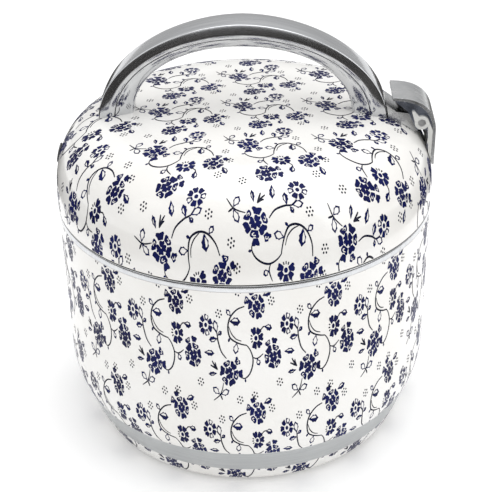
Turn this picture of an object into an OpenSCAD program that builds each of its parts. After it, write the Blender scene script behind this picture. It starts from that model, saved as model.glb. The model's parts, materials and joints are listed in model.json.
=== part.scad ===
// Rice cooker: an enamelled jar with a domed hinged lid, a fixed arch handle and a thumb latch.
// Origin at the centre of the footprint, +Z up, +X towards the latch (front), -X towards the hinge.

/* [Body] */
// Outside radius at the seam between the lid and the body
body_r = 125; // [123:0.5:127]
// Height of the seam above the table
seam_z = 165; // [164:1:168]
// Thickness of the pressed steel shells
skin = 1.2; // [0.8:0.1:1.4]
// Height of the silver band under the seam
seam_band_h = 4.4; // [4:0.1:5]

/* [Lid] */
// Height of the lid's crown above the seam, at the edge of its flat top
lid_h = 58.6; // [57:0.1:60]
// Radius of the lid's flat top
lid_top_r = 64.8; // [64:0.1:66]
// Squareness of the lid's shoulder: 2 is an ellipse, more is squarer
lid_power = 2.83; // [2.7:0.01:2.95]
// Rise of the flat top at its centre
lid_crown = 2.4; // [1:0.1:3]
// Gap between the lid's edge and the body
seam_gap = 1; // [0.8:0.1:1.2]

/* [Handle] */
// Width of the handle across the hand
handle_w = 22.5; // [20:0.5:24]
// Half the handle's span at its feet, outside
handle_span = 93.5; // [93:0.1:94]
// Height of the handle's top above the seam
handle_top = 119.6; // [115:0.1:122]
// Half the handle's opening at its feet
grip_span = 71; // [70:0.1:72]
// Height of the handle's underside above the seam
grip_top = 103.4; // [102:0.1:105]

/* [Latch] */
// Width of the latch lever
latch_w = 30; // [30:0.5:32]
// Radius of the latch pin
latch_pin_r = 2.5; // [2.3:0.1:2.6]

/* [Pot] */
// Outside radius of the inner pot
pot_r = 100; // [99:0.5:100]
// Thickness of the inner pot
pot_t = 1.6; // [1.2:0.1:2]
// Height of the pot's underside above the table
pot_z = 44; // [44:0.5:45]

/* [Hidden] */
$fn = 128;
// Cutters that open the outside of the body or the lid end here
beyond = body_r + 5;
// Clearance of a running fit
run_gap = 0.05;
// Base: the body turns in towards a silver band and a painted rim
base_band_top = 34;
base_band_bottom = 15.5;
base_rim_bottom = 4;
band_top_r = body_r - 4.9;
band_bottom_r = body_r - 11.5;
base_r = body_r - 16.4;
turn_in_z = 59;
shell_top = seam_z - seam_band_h;
base_floor = 6;
foot_ring_r = 92;
foot_angles = [45, 135, 225, 315];
foot_r = 10;
foot_screw_z = 3;
vent_slots = 8;
vent_w = 4;
vent_in_r = 40;
vent_len = 26;
// Lid curve: a quarter superellipse from the rim to the flat top
lid_foot = 2.25;
lid_a = body_r - lid_top_r;
lid_b = lid_h - lid_foot;
curve_steps = 24;
// Handle: three half superellipses that stand on the lid's shoulder, with the grip under the shell
arch_foot = 56;
arch_sink = 3;
outer_power = 1.87;
middle_power = 1.995;
inner_power = 2.12;
handle_face_h = 9.6;
handle_foot_w = 11;
grip_w = 15;
handle_gap = 0.15;
handle_screw_x = 77;
handle_screw_y = 4.4;
// Latch, in the XZ plane, measured from the axis and from the seam
latch_x = 115.1;
latch_z = 54.6;
latch_tip_x = 95.9;
latch_out_x = 124.4;
latch_top_z = 71.8;
latch_knee_z = 47;
latch_end_z = 25.4;
latch_power = 2.45;
latch_plate = 2;
cheek_t = 2;
flange_t = 1.2;
ear_y = 8.5;
ear_t = 3;
boss_r = 4.6;
claw_w = 10;
claw_z = 27.5;
claw_h = 3;
tie_t = 3;
tie_z = 40;
tie_h = 3;
latch_gap = 0.6;
strike_x = 111;
strike_t = 1.6;
strike_half_w = 8;
strike_top = 34;
// Lid hinge, in the notch at the back
hinge_x = -(body_r - 4.2);
hinge_z = 7;
knuckle_r = 4;
hinge_pin_r = 2;
hinge_half_w = 14;
hinge_notch_h = 12.6;
hinge_screw_y = 8;
hinge_screw_z = -18;
leaf_half_w = 6;
leaf_low = 3.3;
leaf_t = 2.5;
leaf_screw_x = -109.5;
leaf_screw_y = 11;
// Collar, can and plate
collar_in_r = 101.5;
collar_out_r = body_r - 1.5;
collar_top = seam_z - 0.6;
flange_r = 107;
can_r = 103.2;
can_t = 1;
can_floor = 29;
can_top = seam_z - 11;
insulation_in_r = 105.5;
insulation_out_r = 119;
insulation_low = 62;
insulation_high = 140;
heater_low = 92;
heater_high = 128;
wrap_start = 12;
wrap_sweep = 336;
plate_r = 82;
plate_hole_r = 19;
plate_bottom = 32;
stud_ring_r = 60;
stud_angles = [60, 180, 300];
element_r = 50;
terminal_angles = [35, 325];
// Thermostat and its magnet
cap_r = 16;
sleeve_r = 13;
housing_z = 25.6;
housing_t = 1;
cap_inside = pot_z - 1.7;
ferrite_h = 5.3;
magnet_r = 7.5;
rod_r = 2;
// Cooking key, rocker and switch
key_x = 106.5;
rocker_z = 18;
rocker_t = 2;
rocker_w = 8;
rocker_pin_x = 45;
rocker_pin_r = 1.5;
rocker_hub_r = 3.5;
panel_x = 118;
panel_half_w = 15;
panel_low = 62;
panel_high = 110;
panel_rim = 1.8;
window_gap = 1;
key_slot_low = 66;
key_slot_high = 90;
lamp_z = 101;
lamp_y = 7;
lamp_r = 2.6;
lamp_back = 6;
// Power inlet at the back
inlet_z = 23;
inlet_half_w = 14;
inlet_half_h = 7.5;
inlet_gap = 0.3;
inlet_wall = 2;
inlet_ear_w = 5;
inlet_mouth_x = -117;
inlet_depth = 24;
inlet_pin_r = 2;
inlet_pin_y = 6.35;
// Steam pipe
steam_x = -76;
steam_z = 27;
steam_r = 5;
steam_bend_r = 8;
steam_tilt = 13;

// ---- curves ----

// Point of a superellipse with half axes a and b at angle t
function super_point(a, b, power, t) =
    [a * sign(cos(t)) * pow(abs(cos(t)), 2 / power), b * pow(abs(sin(t)), 2 / power)];

// Half superellipse from +x over the top to -x, standing on height z0
function arch(a, top, power, z0) =
    [for (i = [0 : 2 * curve_steps])
        let (p = super_point(a, top - z0, power, 90 * i / curve_steps)) [p[0], z0 + p[1]]];

function reverse(points) = [for (i = [len(points) - 1 : -1 : 0]) points[i]];

// Lid surface from the rim to the axis, moved inwards by inset
function lid_curve(inset) = concat(
    [for (i = [0 : curve_steps])
        let (p = super_point(lid_a - inset, lid_b - inset, lid_power, 90 * i / curve_steps))
        [lid_top_r + p[0], lid_foot + p[1]]],
    [for (i = [1 : 4])
        let (r = lid_top_r * (1 - i / 4))
        [r, lid_h - inset + lid_crown * (1 - pow(r / lid_top_r, 2))]]);

// Body wall from the table to the seam, moved inwards by inset
function turn_in(inset) =
    let (drop = turn_in_z - base_band_top,
         across = body_r - band_top_r,
         rad = (drop * drop + across * across) / (2 * across),
         sweep = asin(drop / rad))
    [for (i = [8 : -1 : 0])
        let (t = sweep * i / 8)
        [body_r - rad + (rad - inset) * cos(t), turn_in_z - (rad - inset) * sin(t)]];

// Radius of the cone that carries the base band and the rim
function base_cone(z) = z > base_band_bottom
    ? band_bottom_r + (band_top_r - band_bottom_r)
        * (z - base_band_bottom) / (base_band_top - base_band_bottom)
    : base_r + (band_bottom_r - base_r)
        * (z - base_rim_bottom) / (base_band_bottom - base_rim_bottom);

// ---- small shared shapes ----

module revolve(points) {
    rotate_extrude() polygon(points);
}

// Ring from radius r0 to r1 between heights z0 and z1
module ring(r0, r1, z0, z1) {
    translate([0, 0, z0]) difference() {
        cylinder(r = r1, h = z1 - z0);
        translate([0, 0, -1]) cylinder(r = r0, h = z1 - z0 + 2);
    }
}

// Box centred on y = 0
module block(x0, x1, half_w, z0, z1) {
    translate([x0, -half_w, z0]) cube([x1 - x0, 2 * half_w, z1 - z0]);
}

// Round bar along Y between y0 and y1
module bar_y(x, z, r, y0, y1) {
    translate([x, y1, z]) rotate([90, 0, 0]) cylinder(r = r, h = y1 - y0);
}

// Round bar along X between x0 and x1
module bar_x(y, z, r, x0, x1) {
    translate([x0, y, z]) rotate([0, 90, 0]) cylinder(r = r, h = x1 - x0);
}

// Flat shape in the XZ plane, given thickness along Y from y0 to y1
module plate_xz(y0, y1) {
    translate([0, y1, 0]) rotate([90, 0, 0]) linear_extrude(height = y1 - y0) children();
}

// Same shape on both sides of the XZ plane
module both_sides() {
    children();
    mirror([0, 1, 0]) children();
}

module lid_solid(grow) {
    translate([0, 0, seam_z])
        revolve(concat([[0, -40], [body_r + grow, -40]], lid_curve(-grow)));
}

// Coil of round wire standing on the origin: radius, height, turns and wire radius
module coil(rad, height, turns, wire) {
    sides = 8;
    per_turn = 14;
    rings = ceil(turns * per_turn);
    points = [for (i = [0 : rings], j = [0 : sides - 1])
        let (t = 360 * turns * i / rings,
             s = 360 * j / sides,
             r = rad + wire * cos(s))
        [r * cos(t), r * sin(t), height * i / rings + wire * sin(s)]];
    walls = [for (i = [0 : rings - 1], j = [0 : sides - 1])
        let (k = (j + 1) % sides)
        [i * sides + j, (i + 1) * sides + j, (i + 1) * sides + k, i * sides + k]];
    first = [for (j = [0 : sides - 1]) j];
    last = [for (j = [sides - 1 : -1 : 0]) rings * sides + j];
    polyhedron(points = points, faces = concat(walls, [first, last]));
}

// Screw with a domed head, pointing up from the underside of what it holds
module screw(r, h, head_r, head_h) {
    cylinder(r = r, h = h);
    translate([0, 0, -head_h]) cylinder(r1 = head_r - 0.8, r2 = head_r, h = head_h, $fn = 48);
}

// ---- outer body ----

module body_shell() {
    wall = concat(turn_in(0), [[body_r, shell_top]]);
    lining = concat(turn_in(skin), [[body_r - skin, shell_top]]);
    color("ivory") difference() {
        revolve(concat(wall, reverse(lining)));
        block(collar_in_r, beyond, panel_half_w + window_gap, panel_low - window_gap,
              panel_high + window_gap);
    }
}

module seam_band() {
    color("silver") revolve([
        [body_r - skin, shell_top], [body_r, shell_top],
        [body_r, seam_z - 0.5], [body_r - 0.5, seam_z],
        [body_r - skin, seam_z]
    ]);
}

module base_band() {
    color("silver") difference() {
        revolve([
            [band_bottom_r, base_band_bottom], [band_top_r, base_band_top],
            [band_top_r - skin, base_band_top], [band_bottom_r - skin, base_band_bottom]
        ]);
        block(-beyond, -beyond + 30, inlet_half_w + inlet_gap, inlet_z - inlet_half_h - inlet_gap,
              inlet_z + inlet_half_h + inlet_gap);
    }
}

module base_pan() {
    color("ivory") difference() {
        revolve([
            [0, base_floor], [base_cone(base_floor) - skin, base_floor],
            [base_r - skin, base_rim_bottom], [base_r, base_rim_bottom],
            [band_bottom_r, base_band_bottom], [band_bottom_r - skin, base_band_bottom],
            [base_cone(base_floor + skin) - skin, base_floor + skin], [0, base_floor + skin]
        ]);
        for (i = [0 : vent_slots - 1]) rotate((i + 0.5) * 360 / vent_slots)
            block(vent_in_r, vent_in_r + vent_len, vent_w / 2, 0, 2 * base_floor);
        for (a = foot_angles) rotate(a)
            translate([foot_ring_r, 0, 0]) cylinder(r = 2, h = 2 * base_floor);
    }
}

module feet() {
    color("dimgray") for (a = foot_angles) rotate(a) translate([foot_ring_r, 0, 0])
        difference() {
            cylinder(r1 = foot_r - 1.5, r2 = foot_r, h = base_floor, $fn = 64);
            translate([0, 0, -1]) cylinder(r = 5.2, h = foot_screw_z + 1);
            cylinder(r = 2.1, h = 2 * base_floor);
        }
}

module base_screws() {
    color("gray") for (a = foot_angles) rotate(a) translate([foot_ring_r, 0, foot_screw_z])
        screw(1.9, base_floor + skin, 4.5, 1.6);
}

// ---- collar, can and pot ----

module collar() {
    color("gainsboro") difference() {
        revolve([
            [collar_in_r, seam_z - 2.4], [flange_r + 0.4, seam_z - 2.4],
            [flange_r + 0.4, collar_top], [collar_out_r - 0.2, collar_top],
            [collar_out_r - 0.2, seam_z - 20], [collar_out_r - 1.8, seam_z - 20],
            [collar_out_r - 1.8, seam_z - 4.6], [104.5, seam_z - 4.6],
            [104.5, can_top], [collar_in_r, can_top]
        ]);
        block(-beyond, hinge_x + 1.2, hinge_half_w + 0.4, can_top - 20, seam_z + 1);
        block(strike_x - 0.1, strike_x + strike_t + 0.1, strike_half_w + 0.1, can_top, seam_z + 1);
        block(flange_r, beyond, panel_half_w + 2, can_top - 13, can_top - 1);
    }
}

module inner_can() {
    corner = 20;
    function can_corner(inset) = [for (i = [0 : 6])
        let (t = 15 * i) [can_r - corner + (corner - inset) * cos(t),
                          can_floor + corner - (corner - inset) * sin(t)]];
    color("lightgray") difference() {
        revolve(concat(
            [[can_r - can_t, can_top - can_t], [can_r - can_t, can_top],
             [can_r + 6, can_top], [can_r + 6, can_top - can_t], [can_r, can_top - can_t]],
            can_corner(0), [[24, can_floor], [24, can_floor + can_t]],
            reverse(can_corner(can_t))));
        for (a = stud_angles) rotate(a) translate([stud_ring_r, 0, 0]) cylinder(r = 2.2, h = 40);
        for (a = terminal_angles) rotate(a)
            translate([element_r, 0, 0]) cylinder(r = 4.5, h = 40);
    }
}

module side_insulation() {
    color("khaki") rotate(wrap_start) rotate_extrude(angle = wrap_sweep)
        translate([insulation_in_r, insulation_low])
            square([insulation_out_r - insulation_in_r, insulation_high - insulation_low]);
}

module side_heater() {
    color("sienna") rotate(wrap_start) rotate_extrude(angle = wrap_sweep)
        translate([can_r + 0.2, heater_low]) square([1.2, heater_high - heater_low]);
}

module inner_pot() {
    corner = 24;
    function pot_corner(inset) = [for (i = [0 : 8])
        let (t = 90 - 11.25 * i) [pot_r - corner + (corner - inset) * cos(t),
                                  pot_z + corner - (corner - inset) * sin(t)]];
    color("lightsteelblue") revolve(concat(
        [[0, pot_z]], pot_corner(0),
        [[pot_r, seam_z - 2.4], [flange_r, seam_z - 2.4], [flange_r, seam_z - 2.4 + pot_t],
         [pot_r - pot_t, seam_z - 2.4 + pot_t]],
        reverse(pot_corner(pot_t)), [[0, pot_z + pot_t]]));
}

// ---- heater ----

module heating_plate() {
    color("darkgray") difference() {
        revolve([
            [plate_hole_r, plate_bottom + 4], [plate_hole_r, pot_z], [plate_r - 8, pot_z],
            [plate_r, pot_z - 2], [plate_r, pot_z - 6], [68, plate_bottom + 4]
        ]);
        for (a = stud_angles) rotate(a) translate([stud_ring_r, 0, 0]) cylinder(r = 2, h = 42);
    }
}

module heater_element() {
    z = plate_bottom + 1.2;
    color("dimgray") {
        rotate(terminal_angles[0]) translate([0, 0, z])
            rotate_extrude(angle = terminal_angles[1] - terminal_angles[0])
                translate([element_r, 0]) circle(r = 2.7, $fn = 48);
        for (a = terminal_angles) rotate(a)
            translate([element_r, 0, z - 8]) cylinder(r = 2.2, h = 6);
    }
}

module plate_studs() {
    color("silver") for (a = stud_angles) rotate(a) translate([stud_ring_r, 0, 0]) {
        translate([0, 0, can_floor - 6]) cylinder(r = 1.9, h = 18);
        ring(2.3, 4, can_floor + can_t, plate_bottom + 4);
        translate([0, 0, can_floor - 3.2]) cylinder(r = 3.8, h = 3.2, $fn = 6);
    }
}

// ---- thermostat ----

module thermostat_housing() {
    color("silver") {
        ring(sleeve_r + run_gap, sleeve_r + 2.2, housing_z, housing_z + 8.4);
        ring(sleeve_r + 1, 26, can_floor - 1.2, can_floor);
        ring(rod_r + run_gap, sleeve_r + 2, housing_z, housing_z + housing_t);
    }
}

module thermostat_spring() {
    wire = 0.6;
    foot = housing_z + housing_t + wire;
    color("gray") translate([0, 0, foot]) coil(10.5, cap_inside - wire - foot, 6, wire);
}

module thermostat_cap() {
    lining_r = sleeve_r - 1.2;
    top = cap_inside + 1.4;
    color("silver") revolve([
        [0, cap_inside], [lining_r, cap_inside], [lining_r, housing_z + 3],
        [sleeve_r, housing_z + 3], [sleeve_r, 38], [cap_r, 38], [cap_r, top - 1],
        [cap_r - 1, top], [0, top]
    ]);
}

module ferrite_disc() {
    color("dimgray") translate([0, 0, cap_inside - ferrite_h]) cylinder(r = 9, h = ferrite_h);
}

module magnet_rod() {
    foot = rocker_z + rocker_t + 0.4;
    head = housing_z + housing_t + 0.4;
    color("gray") {
        translate([0, 0, foot]) cylinder(r = rod_r, h = head - foot + 1);
        translate([0, 0, head]) cylinder(r = magnet_r, h = 3.4);
    }
}

// ---- cooking switch ----

module rocker() {
    z = rocker_z + rocker_t / 2;
    color("goldenrod") difference() {
        union() {
            block(-5, key_x + 1.5, rocker_w / 2, rocker_z, rocker_z + rocker_t);
            bar_y(rocker_pin_x, z, rocker_hub_r, -rocker_w / 2, rocker_w / 2);
        }
        bar_y(rocker_pin_x, z, rocker_pin_r + run_gap, -rocker_w, rocker_w);
    }
}

module rocker_pin() {
    color("gray") bar_y(rocker_pin_x, rocker_z + rocker_t / 2, rocker_pin_r, -7, 7);
}

module switch_bracket() {
    z = rocker_z + rocker_t / 2;
    color("silver") both_sides() difference() {
        union() {
            plate_xz(4.4, 5.9) polygon([
                [rocker_pin_x - 6, can_floor], [rocker_pin_x + 6, can_floor],
                [rocker_pin_x + 4, z - 3], [rocker_pin_x - 4, z - 3]
            ]);
            translate([rocker_pin_x - 6, 4.4, can_floor - 1.5]) cube([12, 9, 1.5]);
        }
        bar_y(rocker_pin_x, z, rocker_pin_r, 0, 8);
    }
}

module contact_block() {
    color("saddlebrown") {
        translate([58, 10, 12]) cube([26, 12, 14]);
        translate([62, 6.2, 24.2]) cube([18, 3.8, 1.2]);
    }
}

module cooking_key() {
    paddle_z = 78;
    color("dimgray") {
        block(panel_x + 1.4, panel_x + 5.4, 6, paddle_z, paddle_z + 9);
        block(key_x - 1.5, panel_x + 1.4, 2.4, paddle_z + 2, paddle_z + 6);
        block(key_x - 1.5, key_x + 1.5, 4, rocker_z + rocker_t + 0.4, paddle_z + 6);
    }
}

module control_panel() {
    back = panel_x - 2;
    color("gray") difference() {
        union() {
            intersection() {
                block(back, beyond, panel_half_w, panel_low, panel_high);
                cylinder(r = body_r, h = seam_z);
            }
            block(back - 1.5, back, panel_half_w + 1.5, panel_low - 3, panel_high + 3);
        }
        block(panel_x, beyond, panel_half_w - panel_rim, panel_low + panel_rim,
              panel_high - panel_rim);
        block(flange_r, beyond, 2.7, key_slot_low, key_slot_high);
        for (y = [-lamp_y, lamp_y]) bar_x(y, lamp_z, lamp_r + 0.1, flange_r, beyond);
    }
}

module lamp(y) {
    bar_x(y, lamp_z, lamp_r, panel_x - lamp_back, panel_x + 0.8);
    bar_x(y, lamp_z, lamp_r + 1, panel_x - lamp_back, panel_x - 3.6);
}

module cook_lamp() { color("orangered") lamp(-lamp_y); }

module warm_lamp() { color("orange") lamp(lamp_y); }

module lamp_board() {
    color("darkgreen") block(panel_x - lamp_back - 1.8, panel_x - lamp_back - 0.1, 13,
                              lamp_z - 7, lamp_z + 7);
}

// ---- base wiring ----

module thermal_fuse() {
    color("ivory") {
        translate([-30, -34, 25.6]) rotate([0, 90, 0]) cylinder(r = 2.2, h = 22);
        translate([-21, -37.5, 27.9]) cube([4, 7, 1]);
    }
}

module inlet_housing() {
    back = inlet_mouth_x + inlet_depth;
    color("black") difference() {
        union() {
            intersection() {
                block(inlet_mouth_x - 4, back, inlet_half_w, inlet_z - inlet_half_h,
                      inlet_z + inlet_half_h);
                revolve([[0, base_rim_bottom], [base_r + 0.4, base_rim_bottom],
                         [band_bottom_r + 0.4, base_band_bottom],
                         [band_top_r + 0.4, base_band_top], [0, base_band_top]]);
            }
            block(inlet_mouth_x + 9, inlet_mouth_x + 10.6, inlet_half_w + inlet_ear_w,
                  inlet_z - inlet_half_h, inlet_z + inlet_half_h - 1);
        }
        block(-beyond, back - 3, inlet_half_w - inlet_wall, inlet_z - inlet_half_h + inlet_wall,
              inlet_z + inlet_half_h - inlet_wall);
        for (y = [-inlet_pin_y, inlet_pin_y])
            bar_x(y, inlet_z, inlet_pin_r, back - 4, back + 1);
    }
}

module inlet_pins() {
    back = inlet_mouth_x + inlet_depth;
    color("gold") for (y = [-inlet_pin_y, inlet_pin_y])
        bar_x(y, inlet_z, inlet_pin_r, inlet_mouth_x + 7, back + 6);
}

// A lead in an arc round the base: radius, height, first and last angle
module lead(rad, z, start, end) {
    rotate(start) translate([0, 0, z]) rotate_extrude(angle = end - start)
        translate([rad, 0]) circle(r = 1.4, $fn = 32);
}

// The leads keep clear of the rocker
module lead_wires() {
    color("firebrick") {
        lead(70, 14, 105, 255);
        lead(76, 18, 100, 195);
    }
}

// ---- hinge and strike, on the body ----

module hinge_bracket() {
    z = seam_z + hinge_z;
    color("silver") difference() {
        union() {
            block(hinge_x - 1.8, hinge_x + 0.8, hinge_half_w, seam_z - 26, seam_z + 1.6);
            both_sides() {
                bar_y(hinge_x, z, knuckle_r, leaf_half_w + 0.3, hinge_half_w);
                translate([hinge_x - 1.8, leaf_half_w + 0.3, seam_z])
                    cube([4.4, hinge_half_w - leaf_half_w - 0.3, hinge_z]);
            }
        }
        bar_y(hinge_x, z, hinge_pin_r, -hinge_half_w - 1, hinge_half_w + 1);
        for (y = [-hinge_screw_y, hinge_screw_y])
            bar_x(y, seam_z + hinge_screw_z, 1.7, hinge_x - 5, hinge_x + 5);
    }
}

module hinge_pin() {
    color("gray") bar_y(hinge_x, seam_z + hinge_z, hinge_pin_r, -hinge_half_w, hinge_half_w);
}

module hinge_screws() {
    color("gray") for (y = [-hinge_screw_y, hinge_screw_y]) {
        bar_x(y, seam_z + hinge_screw_z, 1.6, hinge_x - 1.8, hinge_x + 6);
        bar_x(y, seam_z + hinge_screw_z, 3, hinge_x + 0.8, hinge_x + 2.6);
    }
}

module strike_plate() {
    foot_z = seam_z - 4.6;
    top = seam_z + strike_top;
    color("silver") {
        block(strike_x, strike_x + strike_t, strike_half_w, foot_z, top);
        block(strike_x, strike_x + strike_t + 1, strike_half_w, top - 3, top);
        block(strike_x - 4, strike_x + strike_t, strike_half_w, foot_z - strike_t, foot_z);
    }
}

// ---- lid ----

module lid_shell() {
    outer = concat([[body_r, seam_gap]], lid_curve(0));
    inner = concat([[body_r - skin, seam_gap]], lid_curve(skin));
    color("ivory") difference() {
        translate([0, 0, seam_z]) revolve(concat(outer, reverse(inner)));
        block(100, beyond, claw_w / 2 + 1.5, seam_z + claw_z - 2.5, seam_z + claw_z + 11.5);
        block(-beyond, -110, hinge_half_w + 0.6, seam_z, seam_z + hinge_notch_h);
        bar_x(0, seam_z + steam_z, steam_r + 0.4, -beyond, -110);
        at_handle_screws() cylinder(r = 2.1, h = 30, center = true);
    }
}

module lid_liner() {
    rim = body_r - skin - 0.3;
    color("whitesmoke") difference() {
        translate([0, 0, seam_z]) revolve([
            [rim - 1.5, 8], [rim, 8], [rim, 1.6], [103.4, 1.6], [103.4, 16],
            [steam_r + 8, 16], [steam_r + 8, 17.4], [105, 17.4], [105, 3.2], [rim - 1.5, 3.2]
        ]);
        block(-beyond, hinge_x + 6, hinge_half_w + 0.6, seam_z, seam_z + 20);
        block(strike_x - 2.5, strike_x + 7, strike_half_w + 1.5, seam_z, seam_z + 6);
        translate([steam_x, 0, seam_z]) cylinder(r = steam_r + 0.3, h = 20);
    }
}

module lid_insulation() {
    color("khaki") translate([0, 0, seam_z]) difference() {
        ring(14, 98, 18, 27);
        translate([steam_x, 0, 10]) cylinder(r = steam_r + 3, h = 30);
        block(-110, steam_x, steam_r + 3, 10, 40);
    }
}

module inner_lid() {
    color("lightgray") translate([0, 0, seam_z]) difference() {
        revolve([
            [0, 12], [70, 9], [95.8, 9], [95.8, 3.6], [99.4, 3.6], [99.4, 4.8], [97, 4.8],
            [97, 10.2], [70.1, 10.2], [0, 13.2]
        ]);
        translate([steam_x, 0, 0]) cylinder(r = steam_r - 1.2, h = 20);
        for (a = [20 : 40 : 340]) rotate(a)
            translate([30, 0, 0]) cylinder(r = 1.6, h = 20);
    }
}

module lid_gasket() {
    color("white") translate([0, 0, seam_z]) revolve([
        [99.6, 2.2], [101, 0.2], [102.6, 0.2], [103.2, 2.2], [103.2, 6.4], [97.2, 6.4],
        [97.2, 5], [99.6, 5]
    ]);
}

module steam_pipe() {
    top = steam_z - steam_bend_r;
    color("whitesmoke") translate([steam_x, 0, seam_z]) {
        ring(steam_r - 1.2, steam_r, 10.4, top);
        translate([-steam_bend_r, 0, top]) rotate([90, 0, 0]) rotate_extrude(angle = 90)
            translate([steam_bend_r, 0]) difference() {
                circle(r = steam_r, $fn = 64);
                circle(r = steam_r - 1.2, $fn = 64);
            }
        translate([-steam_bend_r, 0, steam_z]) rotate([0, -90, 0])
            ring(steam_r - 1.2, steam_r, 0, 30);
    }
}

// Round grille over the end of the steam pipe, tilted to lie on the lid's side
module steam_cap() {
    face = -(body_r - 1.1);
    color("gray") translate([face, 0, seam_z + steam_z]) rotate([0, steam_tilt, 0]) difference() {
        union() {
            bar_x(0, 0, steam_r + 1.6, 0, 1);
            bar_x(0, 0, steam_r - 1.6, 1, 4);
        }
        for (z = [-2.4, 0, 2.4]) block(-1, 6, 2.2, z - 0.6, z + 0.6);
    }
}

module hinge_leaf() {
    z = seam_z + hinge_z;
    color("silver") difference() {
        union() {
            bar_y(hinge_x, z, knuckle_r, -leaf_half_w, leaf_half_w);
            block(hinge_x, -112, leaf_half_w, seam_z + leaf_low, seam_z + leaf_low + leaf_t);
            block(-114, -105.2, leaf_screw_y + 5, seam_z + leaf_low, seam_z + leaf_low + leaf_t);
        }
        bar_y(hinge_x, z, hinge_pin_r + run_gap, -leaf_half_w - 1, leaf_half_w + 1);
        for (y = [-leaf_screw_y, leaf_screw_y])
            translate([leaf_screw_x, y, seam_z]) cylinder(r = 1.6, h = 10);
    }
}

module leaf_screws() {
    color("gray") for (y = [-leaf_screw_y, leaf_screw_y])
        translate([leaf_screw_x, y, seam_z + leaf_low + leaf_t])
            rotate([180, 0, 0]) screw(1.5, leaf_t, 3, 1.4);
}

// ---- handle ----

function outer_arch() = arch(handle_span, handle_top, outer_power, arch_foot);

function middle_arch() = arch(handle_span - handle_foot_w, handle_top - handle_face_h,
                              middle_power, arch_foot);

function inner_arch() = arch(grip_span, grip_top, inner_power, arch_foot);

// Band between two arches, with its feet carried down into the lid
module arch_band(outer, inner) {
    sink = [0, arch_sink];
    polygon(concat([outer[0] - sink], outer, [outer[len(outer) - 1] - sink],
                   [inner[len(inner) - 1] - sink], reverse(inner), [inner[0] - sink]));
}

module at_handle_screws() {
    for (x = [-handle_screw_x, handle_screw_x], y = [-handle_screw_y, handle_screw_y])
        translate([x, y, seam_z + lid_h - 1.9]) children();
}

module handle_shell() {
    color("silver") difference() {
        translate([0, 0, seam_z]) plate_xz(-handle_w / 2, handle_w / 2)
            arch_band(outer_arch(), middle_arch());
        lid_solid(handle_gap);
    }
}

module handle_grip() {
    color("gainsboro") difference() {
        translate([0, 0, seam_z]) plate_xz(-grip_w / 2, grip_w / 2)
            arch_band(middle_arch(), inner_arch());
        lid_solid(handle_gap);
        at_handle_screws() cylinder(r = 1.9, h = 30, center = true);
    }
}

module handle_screws() {
    color("gray") at_handle_screws() screw(1.9, 12, 3.6, 2);
}

// ---- latch ----

// Outline of the latch cover from its tip to its knee, moved inwards by inset
function latch_curve(inset) = [for (i = [0 : curve_steps])
    let (p = super_point(latch_out_x - latch_tip_x - inset, latch_top_z - latch_knee_z - inset,
                         latch_power, 90 - 90 * i / curve_steps))
    [latch_tip_x + p[0], latch_knee_z + p[1]]];

module latch_bracket() {
    color("silver") difference() {
        translate([0, 0, seam_z]) union() {
            plate_xz(-ear_y - ear_t, ear_y + ear_t) polygon([
                [84, 50], [84, 67], [92, 66], [104, 57], [107, 52], [107, 40], [96, 40]
            ]);
            both_sides() plate_xz(ear_y, ear_y + ear_t) {
                translate([latch_x, latch_z]) circle(r = boss_r - 0.3);
                polygon([
                    [98, 45], [98, 61], [latch_x - 1, latch_z + boss_r - 0.4],
                    [latch_x + 2, latch_z - boss_r + 1], [107, 44]
                ]);
            }
        }
        lid_solid(handle_gap);
        translate([0, 0, seam_z]) plate_xz(-latch_w, latch_w)
            polygon(arch(handle_span + 0.2, handle_top, outer_power, arch_foot));
        block(80, handle_span + 0.2, latch_w, seam_z + 40, seam_z + arch_foot);
        bar_y(latch_x, seam_z + latch_z, latch_pin_r, -latch_w, latch_w);
    }
}

module latch_pin() {
    color("gray") bar_y(latch_x, seam_z + latch_z, latch_pin_r, -latch_w / 2, latch_w / 2);
}

module latch_spring() {
    color("dimgray") translate([latch_x, 7.5, seam_z + latch_z]) rotate([90, 0, 0])
        coil(3.6, 15, 9, 0.5);
}

module latch_cover() {
    outer = concat(latch_curve(0), [[latch_out_x, latch_end_z]]);
    inner = concat(latch_curve(latch_plate), [[latch_out_x - latch_plate, latch_end_z]]);
    inside = latch_out_x - latch_plate;
    color("silver") difference() {
        translate([0, 0, seam_z]) {
            plate_xz(-latch_w / 2, latch_w / 2) polygon(concat(outer, reverse(inner)));
            both_sides() plate_xz(latch_w / 2 - cheek_t - flange_t, latch_w / 2 - cheek_t)
                difference() {
                    polygon(concat(latch_curve(latch_plate - 0.2), [
                        [inside, 30], [inside - 3, 33], [inside - 3.6, latch_z - 6],
                        [latch_x + 3, latch_z - 5.5], [latch_x - 3, latch_z - 5.5],
                        [latch_x - 9, latch_z + 7]
                    ]));
                    translate([latch_x, latch_z]) circle(r = latch_pin_r + run_gap);
                    translate([inside - tie_t - 0.2, tie_z - 0.2])
                        square([tie_t + 0.2, tie_h + 0.4]);
                }
        }
        lid_solid(latch_gap);
    }
}

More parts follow.
